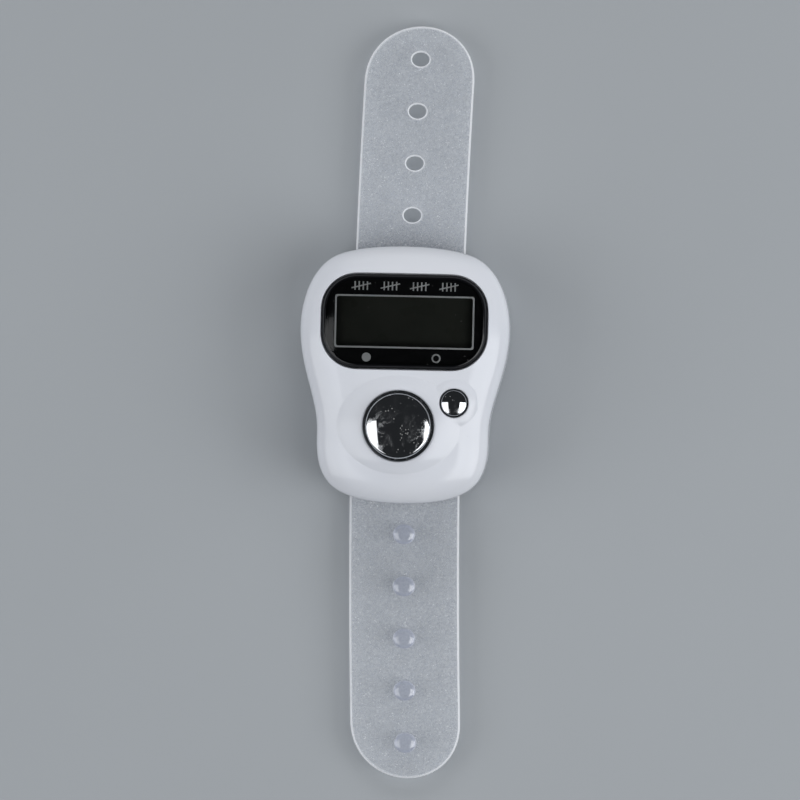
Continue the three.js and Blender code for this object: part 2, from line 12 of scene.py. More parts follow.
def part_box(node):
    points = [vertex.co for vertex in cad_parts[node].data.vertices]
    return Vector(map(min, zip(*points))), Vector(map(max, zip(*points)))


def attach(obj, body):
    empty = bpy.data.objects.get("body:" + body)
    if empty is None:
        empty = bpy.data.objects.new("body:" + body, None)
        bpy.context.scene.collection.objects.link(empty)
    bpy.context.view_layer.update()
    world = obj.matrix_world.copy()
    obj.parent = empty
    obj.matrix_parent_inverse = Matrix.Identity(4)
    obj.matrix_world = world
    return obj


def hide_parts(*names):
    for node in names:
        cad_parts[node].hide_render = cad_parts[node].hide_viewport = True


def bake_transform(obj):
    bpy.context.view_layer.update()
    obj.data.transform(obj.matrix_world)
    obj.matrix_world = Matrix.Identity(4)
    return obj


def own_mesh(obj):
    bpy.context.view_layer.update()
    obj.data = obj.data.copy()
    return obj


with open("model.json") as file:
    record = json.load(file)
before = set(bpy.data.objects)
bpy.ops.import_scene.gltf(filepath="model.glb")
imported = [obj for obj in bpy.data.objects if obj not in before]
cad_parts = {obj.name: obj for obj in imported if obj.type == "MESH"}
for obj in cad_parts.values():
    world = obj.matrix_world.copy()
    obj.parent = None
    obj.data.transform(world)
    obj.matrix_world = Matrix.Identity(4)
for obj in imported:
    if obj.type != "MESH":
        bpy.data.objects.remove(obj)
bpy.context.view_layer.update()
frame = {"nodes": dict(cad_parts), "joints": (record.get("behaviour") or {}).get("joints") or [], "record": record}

MM = 0.001


def node_box(name):
    """A CAD node's lowest and highest corners, in millimetres."""
    low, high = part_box(name)
    return np.array(low) / MM, np.array(high) / MM


# -------- sizes, in millimetres

FRONT_LOW, FRONT_HIGH = node_box("front_case")
BACK_HIGH = node_box("back_cover")[1]
LENS_LOW, LENS_HIGH = node_box("display_lens")
COUNT_LOW, COUNT_HIGH = node_box("count_button")
RESET_LOW, RESET_HIGH = node_box("reset_button")
BAND_LOW, BAND_HIGH = node_box("strap_middle")

CASE_Y = (FRONT_LOW[1] + FRONT_HIGH[1]) / 2
CASE_SCALE = (FRONT_HIGH[0] - FRONT_LOW[0]) / 32.0
CASE_TOP = LENS_HIGH[2]
FRONT_BOTTOM = FRONT_LOW[2]
BACK_TOP = FRONT_BOTTOM - 0.2
CROWN_R = 110.0  # the crown of the mask and the inside
SKIN_R = 90.0  # the crown of the outer skin and the lens's face
EDGE_R = 2.9  # the rounding inside the wall and the front meet in
ROLL_IN = 4.8  # the front rolls over into its sides on an ellipse, this far in
ROLL_DOWN = 2.9
RING_REACH = 2.3  # how far in the rings of the roll-over go, before the triangulated front
DRAFT = 0.15
WALL = 1.3
SEAT_DEPTH = 1.34
SEAT_THICK = 0.5
SEAT_BLEND = 0.45  # how softly the lens's seat thins out into the wall
MOUTH_R = 0.18  # rounding of the lens recess's mouth
OUTLINE_POINTS = 320
EDGE_POINTS = 1600  # of the finer outline that distances from the edge are measured to
FRONT_GRID = 0.5  # steps between the front's inner points
ROUGH_GRID = 1.2  # and the steps inside the case
FOOT_R = 0.9  # rounding of the back cover's foot
BACK_RINGS = [  # inset and height above the cover's top, from its wall to the bottom of its lip
    (0, -0.12), (0.04, -0.04), (0.15, 0), (1.42, 0), (1.42, 1), (2.15, 1), (2.15, -0.5),
]
BRIDGES = ((-11.85, -7.35), (15.55, 20.05))  # ends in Y of the loops the band passes through
BRIDGE_OVERLAP = 0.3
BRIDGE_TOP = 1.1
COUNTERBORE_R = 1.2
COUNTERBORE_TOP = 1.5
COVER_BEVEL = 0.12

LENS_C = (LENS_LOW[:2] + LENS_HIGH[:2]) / 2
LENS_HALF = (LENS_HIGH[:2] - LENS_LOW[:2]) / 2
LENS_CORNER = 5.3
LENS_TRIM = 0.25
LENS_POWER = 3.4
LENS_GAP = 0.15
LENS_LEDGE = 1.35
LENS_THICK = 1.0
LENS_INK = 0.8  # breadth of the dark ring under the lens's edge
LENS_GRID = 0.8
LENS_POINTS = 176
WINDOW_HALF = (10.5, 4.0)
WINDOW_CORNER = 0.35
WINDOW_LINE = 0.25
TALLY_Y = 5.35  # the tally strokes, from the lens's middle
TALLY_PITCH = 4.4
TALLY_HEIGHT = 1.3
TALLY_GAP = 0.62
TALLY_WIDTH = 0.2
TALLY_SLASH = np.array([1.45, 0.36])
DOT_AT = (-5.6, -5.4)
RING_AT = (4.9, -5.4)
DOT_R = 0.68
RING_HOLE_R = 0.46

COUNT_C = (COUNT_LOW[:2] + COUNT_HIGH[:2]) / 2
COUNT_TOP = COUNT_HIGH[2]
COUNT_HOLE_R = 5.35
COUNT_HOLE_FILLET = 0.3
COUNT_CAP_R = 4.87
COUNT_RISE, COUNT_BEVEL = 0.4, 0.42
COUNT_STEM = [(2.4, COUNT_LOW[2]), (2.4, 10.1), (6, 10.1), (6, 10.8), (COUNT_CAP_R, 10.8)]
RESET_C = (RESET_LOW[:2] + RESET_HIGH[:2]) / 2
RESET_TOP = RESET_HIGH[2]
RESET_HOLE_R = 2.18
RESET_HOLE_FILLET = 0.2
RESET_CAP_R = 1.9
RESET_RISE, RESET_BEVEL = 0.25, 0.2
RESET_STEM = [(1.2, RESET_LOW[2]), (1.2, 9.6), (2.75, 9.6), (2.75, 10.2), (RESET_CAP_R, 10.2)]
COUNT_MOUND = (9.3, 7.4, 1.0)  # half axes of its foot, and its height
RESET_MOUND = (3.6, 3.6, 0.5)
COUNT_MOUND_SHIFT = 0.15

DOME_SKIN = 0.4
DOME_FOOT = 0.7
DOME_SHOULDER = 0.3
COUNT_DOME = (2.6, 0.56)  # crest radius, and what is left of the height when the button is down
RESET_DOME = (1.3, 0.55)

CHANNEL_HALF = 9.2
CHANNEL_TOP = 2.6

BAND_HALF_X = 8.45
BAND_BOTTOM = BAND_LOW[2]
BAND_TOP = BAND_HIGH[2]
BAND_END = node_box("strap_hole_4")[1][1]
BAND_END_R = 8.8
BAND_END_POWER = 2.2
BAND_BOW = 1.3
BAND_SHIFT = 0.2
BAND_ROUND = 0.42
BAND_GRID = 0.6
SIDE_STEP = 0.5
ACROSS = 22  # points across a cut through the band
END_POINTS = 56  # points round one of its ends
OVAL_POINTS = 48
PITCH = 8
CUT_LEAD = 2.1  # from a hinge to the cut before it
HOLE_OVAL = (1.35, 1.1)
HOLE_LIP = 0.3
FIRST_STUD = -20.3
STUD_OVAL = (1.72, 1.56)
STUD_OUTLINE = [  # share of the stud's oval, and height above the band
    (1.0, 0.0), (0.86, 0.06), (0.76, 0.22), (0.74, 0.42), (0.8, 0.56), (0.93, 0.62), (1.0, 0.72),
    (1.0, 0.84), (0.985, 0.98), (0.94, 1.12), (0.86, 1.24), (0.72, 1.34), (0.5, 1.41), (0.26, 1.44),
]
STUD_TOP = 1.45
HINGES = {joint["name"]: joint["pos_m"][1] / MM for joint in frame["joints"] if joint["type"] == "hinge"}


# -------- mesh building

def add_object(name, data):
    obj = bpy.data.objects.new(name, data)
    bpy.context.scene.collection.objects.link(obj)
    return obj


class Builder:
    """Gathers rings, strips and lifted triangulations into one mesh, in millimetres."""

    def __init__(self):
        self.verts = []
        self.normals = []
        self.faces = []
        self.slots = []

    def ring(self, points, normals=None):
        start = len(self.verts)
        self.verts.extend(np.asarray(points, float))
        self.normals.extend([None] * len(points) if normals is None else np.asarray(normals, float))
        return list(range(start, start + len(points)))

    def level(self, loop, z, normals=None):
        """A ring over a plan loop, at one height or at a height for each point."""
        return self.ring(np.column_stack([loop, np.broadcast_to(z, len(loop))]), normals)

    def plan(self, *rings):
        return np.array([self.verts[i][:2] for ring in rings for i in ring])

    def face(self, corners, slot=0):
        self.faces.append(tuple(corners))
        self.slots.append(slot)

    def bridge(self, a, b, closed=True, slot=0):
        count = len(a)
        for i in range(count if closed else count - 1):
            j = (i + 1) % count
            self.face((a[i], a[j], b[j], b[i]), slot)

    def sweep(self, rings, closed=True, slot=0):
        for a, b in zip(rings, rings[1:]):
            self.bridge(a, b, closed, slot)

    def fan(self, ring, tip, slot=0):
        for i in range(len(ring)):
            self.face((ring[i], ring[(i + 1) % len(ring)], tip), slot)

    def close(self, rings):
        """A sweep with a flat face at each end."""
        self.sweep(rings)
        self.face(rings[0][::-1])
        self.face(rings[-1])

    def fill(self, outer, holes, inner, lift, down=False, slot=0):
        """Triangulates the plan between closed loops already made, through the inner points."""
        loops = [outer, *holes]
        known = [index for loop in loops for index in loop]
        plan = np.vstack([self.plan(known), inner])
        edges, start = [], 0
        for loop in loops:
            edges += [(start + i, start + (i + 1) % len(loop)) for i in range(len(loop))]
            start += len(loop)
        spots = [Vector((float(x), float(y))) for x, y in plan]
        points, _, triangles, origins, _, _ = delaunay_2d_cdt(spots, edges, [], 0, 1e-6, True)
        xy = np.array([tuple(point) for point in points])
        index_of = {i: known[origin[0]] for i, origin in enumerate(origins)
                    if origin and origin[0] < len(known)}
        fresh = [i for i in range(len(xy)) if i not in index_of]
        if fresh:
            index_of.update(zip(fresh, self.level(xy[fresh], *lift(xy[fresh]))))
        tri = np.array(triangles)
        centre = xy[tri].mean(axis=1)
        keep = inside(centre, self.plan(outer))
        for hole in holes:
            keep &= ~inside(centre, self.plan(hole))
        a, b, c = (xy[tri[:, k]] for k in range(3))
        area = (b[:, 0] - a[:, 0]) * (c[:, 1] - a[:, 1]) - (b[:, 1] - a[:, 1]) * (c[:, 0] - a[:, 0])
        for t, good, size in zip(tri, keep, area):
            if not good or abs(size) < 1e-9:
                continue
            corners = [index_of[int(i)] for i in t]
            if (size > 0) == down:
                corners.reverse()
            self.face(corners, slot)

    def make(self, name, materials, sharp=None):
        mesh = bpy.data.meshes.new(name)
        points = [tuple(float(c) * MM for c in v) for v in self.verts]
        mesh.from_pydata(points, [], self.faces)
        mesh.polygons.foreach_set("material_index", self.slots)
        mesh.polygons.foreach_set("use_smooth", [True] * len(mesh.polygons))
        for material in materials:
            mesh.materials.append(material)
        mesh.update()
        if sharp is not None:
            mesh.set_sharp_from_angle(angle=math.radians(sharp))
        if any(normal is not None for normal in self.normals):
            given = [self.normals[loop.vertex_index] for loop in mesh.loops]
            mesh.normals_split_custom_set([
                tuple(found.vector if normal is None else normal)
                for found, normal in zip(mesh.corner_normals, given)
            ])
        return add_object(name, mesh)


def unit(vectors):
    return vectors / np.linalg.norm(vectors, axis=1)[:, None]


def flat(vectors):
    """Plan vectors as vectors in space."""
    return np.column_stack([vectors, np.zeros(len(vectors))])


def rounding(radius, steps):
    """How far in, and how far down or up, each step of a quarter round lies."""
    turns = [math.pi / 2 * k / steps for k in range(steps + 1)]
    return [(radius * (1 - math.sin(turn)), radius * (1 - math.cos(turn))) for turn in turns]


def inside(points, polygon):
    """Which points lie inside a closed polygon."""
    x, y = points[:, 0], points[:, 1]
    result = np.zeros(len(points), bool)
    for (x0, y0), (x1, y1) in zip(polygon, np.roll(polygon, -1, axis=0)):
        crosses = (y0 > y) != (y1 > y)
        if y0 != y1:
            result ^= crosses & (x < (x1 - x0) * (y - y0) / (y1 - y0) + x0)
    return result


def even_steps(line, count, endpoint=True):
    """A plan line resampled to equal steps."""
    along = np.concatenate([[0], np.cumsum(np.hypot(*np.diff(line, axis=0).T))])
    at = np.linspace(0, along[-1], count, endpoint=endpoint)
    return np.column_stack([np.interp(at, along, line[:, k]) for k in range(2)])


def even_loop(points, count):
    """A closed plan curve resampled to equal steps, with its outward normals."""
    loop = even_steps(np.vstack([points, points[:1]]), count, endpoint=False)
    tangent = unit(np.roll(loop, -1, axis=0) - np.roll(loop, 1, axis=0))
    return loop, np.column_stack([tangent[:, 1], -tangent[:, 0]])


def soften_loop(points, passes):
    for _ in range(passes):
        points = 0.25 * np.roll(points, 1, axis=0) + 0.5 * points + 0.25 * np.roll(points, -1, axis=0)
    return points


def hex_points(low, high, step):
    rows = []
    for row, y in enumerate(np.arange(low[1], high[1], step * 0.866)):
        xs = np.arange(low[0] + (row % 2) * step / 2, high[0], step)
        rows.append(np.column_stack([xs, np.full(len(xs), y)]))
    return np.vstack(rows)


def nearest(points, others):
    """For each point, which of the others is nearest, and how far away it is."""
    which, away = np.zeros(len(points), int), np.zeros(len(points))
    for chunk in np.array_split(np.arange(len(points)), max(1, len(points) // 400)):
        distance = np.linalg.norm(points[chunk, None] - others[None], axis=2)
        which[chunk], away[chunk] = distance.argmin(axis=1), distance.min(axis=1)
    return which, away


def keep_clear(points, others, gap):
    """The points that are more than gap away from all the others."""
    return points[nearest(points, others)[1] > gap]


# -------- the case's surface

OUTLINE = [
    ((0, -19.55), (3.5, -19.55), (6.3, -19.2), (8.4, -18.4)),
    ((8.4, -18.4), (12, -17.1), (13.35, -14.2), (13.1, -8.9)),
    ((13.1, -8.9), (12.95, -4.2), (16, 0.6), (16, 6.9)),
    ((16, 6.9), (16, 12.4), (13.6, 17), (10.2, 18.25)),
    ((10.2, 18.25), (8, 19.05), (4.6, 19.55), (0, 19.55)),
]


def case_outline(count):
    """The case's outline and its outward normals, in the row frame."""
    t = np.linspace(0, 1, 80, endpoint=False)[:, None]
    right = np.vstack([
        (1 - t) ** 3 * np.array(a) + 3 * (1 - t) ** 2 * t * np.array(b)
        + 3 * (1 - t) * t ** 2 * np.array(c) + t ** 3 * np.array(d)
        for a, b, c, d in OUTLINE
    ] + [[OUTLINE[-1][3]]])
    left = right[1:-1][::-1] * (-1, 1)
    whole = np.vstack([right, left]) * CASE_SCALE + (0, CASE_Y)
    loop, _ = even_loop(whole, count * 2)
    return even_loop(soften_loop(loop, 30), count)


def lens_outline(grow):
    """The lens's outline, a rectangle with big round corners, grown or shrunk evenly."""
    half = (LENS_HALF[0] + grow, LENS_HALF[1] - LENS_TRIM + grow)
    loop, _ = even_loop(rounded_rect(LENS_C, half, LENS_CORNER + grow, 60), 720)
    return even_loop(soften_loop(loop, 60), LENS_POINTS)


def rounded_rect(centre, half, corner, count=10):
    """A closed loop of a rectangle with round corners, anticlockwise."""
    points = []
    for k, (sx, sy) in enumerate(((1, -1), (1, 1), (-1, 1), (-1, -1))):
        middle = np.array(centre) + (sx * (half[0] - corner), sy * (half[1] - corner))
        for turn in np.linspace(k * 90 - 90, k * 90, count):
            angle = math.radians(turn)
            points.append(middle + corner * np.array([math.cos(angle), math.sin(angle)]))
    return np.array(points)


def circle(centre, radius, count):
    turn = np.linspace(0, 2 * math.pi, count, endpoint=False)
    normals = np.column_stack([np.cos(turn), np.sin(turn)])
    return centre + radius * normals, normals


def crown(x, radius=CROWN_R):
    """Height of the crowned front above the resting plane at its full breadth."""
    return CASE_TOP - (radius - np.sqrt(radius ** 2 - x ** 2))


def crown_normal(xy, radius=CROWN_R):
    return unit(np.column_stack([xy[:, 0] / radius, np.zeros(len(xy)), np.ones(len(xy))]))


MOUNDS = [(COUNT_C + (0, COUNT_MOUND_SHIFT), COUNT_MOUND), (RESET_C, RESET_MOUND)]
CREASE = 0.03  # softness of the crease round a mound, as a share of its height
UNION = 4  # how sharply the two mounds run into each other
CREASE_RINGS = (-0.7, -0.45, -0.25, -0.1, 0.05, 0.2, 0.4)


def add_mounds(xy, z, normals):
    """Raises the two button mounds out of a surface: flat on top, and sloping to a soft crease."""
    rises, slopes = [], []
    for centre, (a, b, height) in MOUNDS:
        u = (xy[:, 0] - centre[0]) / a
        v = (xy[:, 1] - centre[1]) / b
        square = u ** 2 + v ** 2
        left = 1 - square ** 2
        soft = np.sqrt(left ** 2 + CREASE ** 2)
        rises.append(np.maximum(height * (left + soft) / 2, 1e-6))
        steep = height * (1 + left / soft) * 2 * square
        slopes.append(np.column_stack([steep * u / a, steep * v / b]))
    total = sum(rise ** UNION for rise in rises) ** (1 / UNION)
    lean = sum((rise / total)[:, None] ** (UNION - 1) * slope for rise, slope in zip(rises, slopes))
    tilted = normals / np.maximum(normals[:, 2:], 1e-3)
    tilted[:, :2] += lean
    upright = np.clip(normals[:, 2:] * 20 - 1, 0, 1)
    return z + total, unit(normals * (1 - upright) + unit(tilted) * upright)


def rolled(xy, inset, outward):
    """The crowned front at points some way in from the outline, where it rolls over into the sides."""
    left = np.clip(1 - (inset - DRAFT) / ROLL_IN, 0, 1) * np.ones(len(xy))
    upright = np.sqrt(1 - left ** 2)
    z = crown(xy[:, 0], SKIN_R) - ROLL_DOWN * (1 - upright)
    rise = np.column_stack([xy[:, 0] / SKIN_R, np.zeros(len(xy)), np.ones(len(xy))])
    return z, unit(rise * (upright * ROLL_IN)[:, None] + flat(outward) * (left * ROLL_DOWN)[:, None])


EDGE_LINE = even_loop(case_outline(OUTLINE_POINTS)[0], EDGE_POINTS)[0]


def bare_front(xy):
    """The front without its mounds, anywhere inside the outline."""
    which, inset = nearest(xy, EDGE_LINE)
    outward = EDGE_LINE[which] - xy
    return rolled(xy, inset, outward / np.maximum(inset, 1e-6)[:, None])


def front_surface(xy):
    return add_mounds(xy, *bare_front(xy))


def crease_points():
    """Extra plan points beside the crease at the foot of each mound."""
    found = []
    for centre, (a, b, _) in MOUNDS:
        turn = np.linspace(0, 2 * math.pi, int(14 * (a + b)), endpoint=False)
        ray = np.column_stack([a * np.cos(turn), b * np.sin(turn)])
        reach = np.linalg.norm(ray, axis=1)
        for offset in CREASE_RINGS:
            found.append(centre + ray * (1 + offset / reach)[:, None])
    return np.vstack(found)


def fillet_down(builder, loop, outward, radius):
    """Rings that round a hole's mouth: the loop is the wall line, and the rings start outside it."""
    z_top, n_top = front_surface(loop + outward * radius)
    rings = []
    for grow, fall in rounding(radius, 4):
        turn = math.pi / 2 * len(rings) / 4
        normals = unit(n_top * math.cos(turn) + flat(-outward) * math.sin(turn))
        rings.append(builder.level(loop + outward * grow, z_top - fall, normals))
    return rings


def case_ceiling(xy):
    """The underside of the front: the wall's thickness, and lower where it carries the lens."""
    lens = np.abs((xy - LENS_C) / (LENS_HALF + LENS_GAP)) ** LENS_POWER
    beyond = np.clip((lens.sum(axis=1) - 1) / SEAT_BLEND, 0, 1)
    depth = SEAT_DEPTH + SEAT_THICK - (SEAT_DEPTH + SEAT_THICK - WALL) * beyond
    return crown(xy[:, 0]) - depth, -crown_normal(xy)


def build_front_case(material):
    builder = Builder()
    loop, outward = case_outline(OUTLINE_POINTS)

    def ring_at(inset, z, normals=None):
        return builder.level(loop - outward * inset, z, normals)

    inner_inset = DRAFT + EDGE_R
    ceiling = crown((loop - outward * inner_inset)[:, 0]) - WALL
    rings = [ring_at(inner_inset, ceiling)]
    for inward, fall in rounding(EDGE_R - WALL, 3)[1:]:
        rings.append(ring_at(WALL + DRAFT + inward, ceiling - fall))
    for inset, rise in ((WALL, 0), (0.15, 0), (0.04, 0.05)):
        rings.append(ring_at(inset, FRONT_BOTTOM + rise))
    rings.append(ring_at(0, FRONT_BOTTOM + 0.15, flat(outward)))
    last_turn = math.acos(1 - (RING_REACH - DRAFT) / ROLL_IN)
    for turn in np.linspace(0, last_turn, 14):
        inset = DRAFT + ROLL_IN * (1 - math.cos(turn))
        xy = loop - outward * inset
        rings.append(builder.level(xy, *add_mounds(xy, *rolled(xy, inset, outward))))
    builder.sweep(rings)

    recess, recess_out = lens_outline(LENS_GAP)
    opening, _ = lens_outline(-LENS_LEDGE)
    seat_foot = SEAT_DEPTH + SEAT_THICK
    lens_rings = fillet_down(builder, recess, recess_out, MOUTH_R)
    for xy, depth in ((recess, SEAT_DEPTH), (opening, SEAT_DEPTH), (opening, seat_foot), (recess, seat_foot)):
        lens_rings.append(builder.level(xy, crown(xy[:, 0]) - depth))
    builder.sweep(lens_rings)
    tops, feet = [lens_rings[0]], [lens_rings[-1]]
    for centre, radius, count, fillet in (
        (COUNT_C, COUNT_HOLE_R, 120, COUNT_HOLE_FILLET), (RESET_C, RESET_HOLE_R, 64, RESET_HOLE_FILLET),
    ):
        wall, wall_out = circle(centre, radius, count)
        hole_rings = fillet_down(builder, wall, wall_out, fillet)
        hole_rings.append(builder.level(wall, case_ceiling(wall)[0]))
        builder.sweep(hole_rings)
        tops.append(hole_rings[0])
        feet.append(hole_rings[-1])

    edge, borders = builder.plan(rings[-1]), builder.plan(rings[-1], *tops)
    crease = keep_clear(crease_points(), borders, 0.14)
    grid = keep_clear(hex_points(FRONT_LOW, FRONT_HIGH, FRONT_GRID), np.vstack([borders, crease]), 0.22)
    inner = np.vstack([crease, grid])
    builder.fill(rings[-1], tops, inner[inside(inner, edge)], front_surface)
    rough = keep_clear(hex_points(FRONT_LOW, FRONT_HIGH, ROUGH_GRID), borders, 0.4)
    builder.fill(rings[0], feet, rough[inside(rough, edge)], case_ceiling, down=True)
    piece = builder.make("front_shell", [material], sharp=50)
    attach(piece, "case")
    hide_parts("front_case")


# -------- back cover

def block(name, low, high):
    """A box in millimetres, used as a cutter or a join."""
    x0, y0, z0 = (c * MM for c in low)
    x1, y1, z1 = (c * MM for c in high)
    corners = [(x, y, z) for z in (z0, z1) for x, y in ((x0, y0), (x1, y0), (x1, y1), (x0, y1))]
    faces = [(3, 2, 1, 0), (4, 5, 6, 7), (0, 1, 5, 4), (1, 2, 6, 5), (2, 3, 7, 6), (3, 0, 4, 7)]
    mesh = bpy.data.meshes.new(name)
    mesh.from_pydata(corners, [], faces)
    return add_object(name, mesh)


def rod(name, centre, radius, low, high):
    builder = Builder()
    loop, _ = circle(centre, radius, 40)
    builder.close([builder.level(loop, z) for z in (low, high)])
    return builder.make(name, [])


def apply_boolean(target, tool, operation):
    modifier = target.modifiers.new("join", "BOOLEAN")
    modifier.operation = operation
    modifier.solver = "EXACT"
    modifier.object = tool
    settle_modifiers(target)
    bpy.data.objects.remove(tool)


def settle_modifiers(target):
    """Applies a piece's modifiers to its mesh."""
    graph = bpy.context.evaluated_depsgraph_get()
    mesh = bpy.data.meshes.new_from_object(target.evaluated_get(graph))
    target.modifiers.clear()
    target.data = mesh


def build_back_cover(material):
    builder = Builder()
    loop, outward = case_outline(OUTLINE_POINTS)
    profile = rounding(FOOT_R, 6) + [(inset, BACK_TOP + rise) for inset, rise in BACK_RINGS]
    builder.close([builder.level(loop - outward * inset, z) for inset, z in profile])
    cover = builder.make("back_shell", [material])
    reach = BACK_HIGH[1] + 5
    channel = block("channel", (-CHANNEL_HALF, -reach, -1), (CHANNEL_HALF, reach, CHANNEL_TOP))
    apply_boolean(cover, channel, "DIFFERENCE")
    half = CHANNEL_HALF + BRIDGE_OVERLAP
    for low_y, high_y in BRIDGES:
        apply_boolean(cover, block("bridge", (-half, low_y, 0), (half, high_y, BRIDGE_TOP)), "UNION")
    for k in range(1, 5):
        low, high = node_box(f"case_screw_{k}")
        tool = rod("counterbore", (low[:2] + high[:2]) / 2, COUNTERBORE_R, -1, COUNTERBORE_TOP)
        apply_boolean(cover, tool, "DIFFERENCE")
    bevel = cover.modifiers.new("edges", "BEVEL")
    bevel.width = COVER_BEVEL * MM
    bevel.segments = 2
    bevel.limit_method = "ANGLE"
    bevel.angle_limit = math.radians(50)
    settle_modifiers(cover)
    cover.data.polygons.foreach_set("use_smooth", [True] * len(cover.data.polygons))
    cover.data.set_sharp_from_angle(angle=math.radians(35))
    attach(cover, "case")
    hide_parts("back_cover")


# -------- lens, mask and its printed line

LENS_CHAMFER = [  # inset, drop below the face, and the slope to shade, in degrees
    (0, 0.5, 85), (0.05, 0.4, 60), (0.36, 0.07, 45), (0.45, 0.02, 24), (0.53, 0.003, 8), (0.6, 0, 0),
]


def build_lens(clear, rim, under_face):
    """The window panel: clear in the middle, and inked dark round its chamfered rim."""
    builder = Builder()
    loop, outward = lens_outline(0)
    under = crown(loop[:, 0]) - LENS_THICK
    inked = loop - outward * LENS_INK
    rings = [builder.level(inked, crown(inked[:, 0]) - LENS_THICK),
             builder.level(loop - outward * 0.1, under),
             builder.level(loop, under + 0.1)]
    for inset, drop, lean in LENS_CHAMFER:
        xy = loop - outward * inset
        slope = math.radians(lean)
        normals = unit(crown_normal(xy, SKIN_R) * math.cos(slope) + flat(outward) * math.sin(slope))
        rings.append(builder.level(xy, crown(xy[:, 0], SKIN_R) - drop, normals))
    builder.sweep(rings, slot=1)
    grid = hex_points(LENS_LOW, LENS_HIGH, LENS_GRID)
    grid = keep_clear(grid[inside(grid, inked)], builder.plan(rings[0], rings[-1]), 0.3)

    def face(xy):
        return crown(xy[:, 0], SKIN_R), crown_normal(xy, SKIN_R)

    def underside(xy):
        return crown(xy[:, 0]) - LENS_THICK, -crown_normal(xy)

    builder.fill(rings[-1], [], grid, face)
    builder.fill(rings[0], [], grid, underside, down=True, slot=2)
    lens = builder.make("lens_panel", [clear, rim, under_face], sharp=60)
    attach(lens, "case")
    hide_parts("display_lens")


def split_long(loop, step):
    """Adds points along a loop's long sides, so that it can follow the crown."""
    points = []
    for a, b in zip(loop, np.roll(loop, -1, axis=0)):
        parts = max(1, int(np.linalg.norm(b - a) / step))
        points += [a + (b - a) * k / parts for k in range(parts)]
    return np.array(points)


PRINT_DEPTH = 1.03  # underside of the print, below the crown, where the mask's face lies
PRINT_THICK = 0.02


def print_ring(builder, loop, lift):
    return builder.level(loop, crown(loop[:, 0]) - PRINT_DEPTH + lift)


def add_print_band(builder, outer, inner):
    """A thin printed frame between two loops with the same number of points."""
    sides = ((inner, 0), (outer, 0), (outer, PRINT_THICK), (inner, PRINT_THICK))
    rings = [print_ring(builder, loop, lift) for loop, lift in sides]
    builder.sweep([*rings, rings[0]])


def add_print_patch(builder, loop):
    """A thin printed patch inside one loop."""
    builder.close([print_ring(builder, loop, lift) for lift in (0, PRINT_THICK)])


def stroke(middle, reach, width):
    """The four corners of a straight printed stroke, which reaches this far to both sides of its middle."""
    start, end = middle - reach, middle + reach
    along = (end - start) / np.linalg.norm(end - start)
    side = np.array([along[1], -along[0]]) * width / 2
    return np.array([start + side, end + side, end - side, start - side])


def build_print(material):
    """The window's line and plain pictograms: tally strokes above, a dot and a ring below."""
    builder = Builder()
    outer = split_long(rounded_rect(LENS_C, WINDOW_HALF, WINDOW_CORNER), 1.0)
    inner = LENS_C + (outer - LENS_C) * (1 - WINDOW_LINE / np.array(WINDOW_HALF))
    add_print_band(builder, outer, inner)
    for group in (-1.5, -0.5, 0.5, 1.5):
        middle = LENS_C + (group * TALLY_PITCH, TALLY_Y)
        for k in range(4):
            upright = middle + ((k - 1.5) * TALLY_GAP, 0)
            add_print_patch(builder, stroke(upright, np.array([0, TALLY_HEIGHT / 2]), TALLY_WIDTH))
        add_print_patch(builder, stroke(middle, TALLY_SLASH, TALLY_WIDTH * 0.9))
    add_print_patch(builder, circle(LENS_C + DOT_AT, DOT_R, 32)[0])
    ring_out, ring_in = (circle(LENS_C + RING_AT, radius, 32)[0] for radius in (DOT_R, RING_HOLE_R))
    add_print_band(builder, ring_out, ring_in)
    print_piece = builder.make("lens_print", [material], sharp=40)
    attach(print_piece, "case")


# -------- buttons

def build_turned(name, node, body, centre, profile, material, count):
    """A turned piece from its lowest face's middle, round its outside, to the middle of its top."""
    builder = Builder()
    foot, crest = (builder.ring([(*centre, profile[end][1])])[0] for end in (0, -1))
    rings = [builder.level(circle(centre, r, count)[0], z) for r, z in profile[1:-1]]
    builder.fan(rings[0][::-1], foot)
    builder.sweep(rings)
    builder.fan(rings[-1], crest)
    piece = builder.make(name, [material], sharp=32)
    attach(piece, body)
    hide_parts(node)
    return piece


def cap_profile(cap_r, top, rise, bevel, stem):
    """Radius and height pairs of a button: its stem and skirt, rounded bevel and shallow dome."""
    sphere = (cap_r ** 2 + rise ** 2) / (2 * rise)
    edge_z = top - rise - bevel
    profile = [(0, stem[0][1]), *stem, (cap_r, edge_z)]
    for k in range(1, 5):
        turn = math.pi / 2 * k / 5
        profile.append((cap_r - bevel * (1 - math.cos(turn)), edge_z + bevel * math.sin(turn)))
    dome_r = cap_r - bevel
    for r in dome_r * np.cos(np.linspace(0, math.pi / 2, 20)[:-1]):
        fall = sphere - math.sqrt(sphere ** 2 - r ** 2)
        profile.append((r, top - fall * rise / (sphere - math.sqrt(sphere ** 2 - dome_r ** 2))))
    return [*profile, (0, top)]


def build_buttons(material):
    profile = cap_profile(COUNT_CAP_R, COUNT_TOP, COUNT_RISE, COUNT_BEVEL, COUNT_STEM)
    build_turned("count_cap", "count_button", "count_button", COUNT_C, profile, material, 128)
    profile = cap_profile(RESET_CAP_R, RESET_TOP, RESET_RISE, RESET_BEVEL, RESET_STEM)
    build_turned("reset_cap", "reset_button", "reset_button", RESET_C, profile, material, 96)


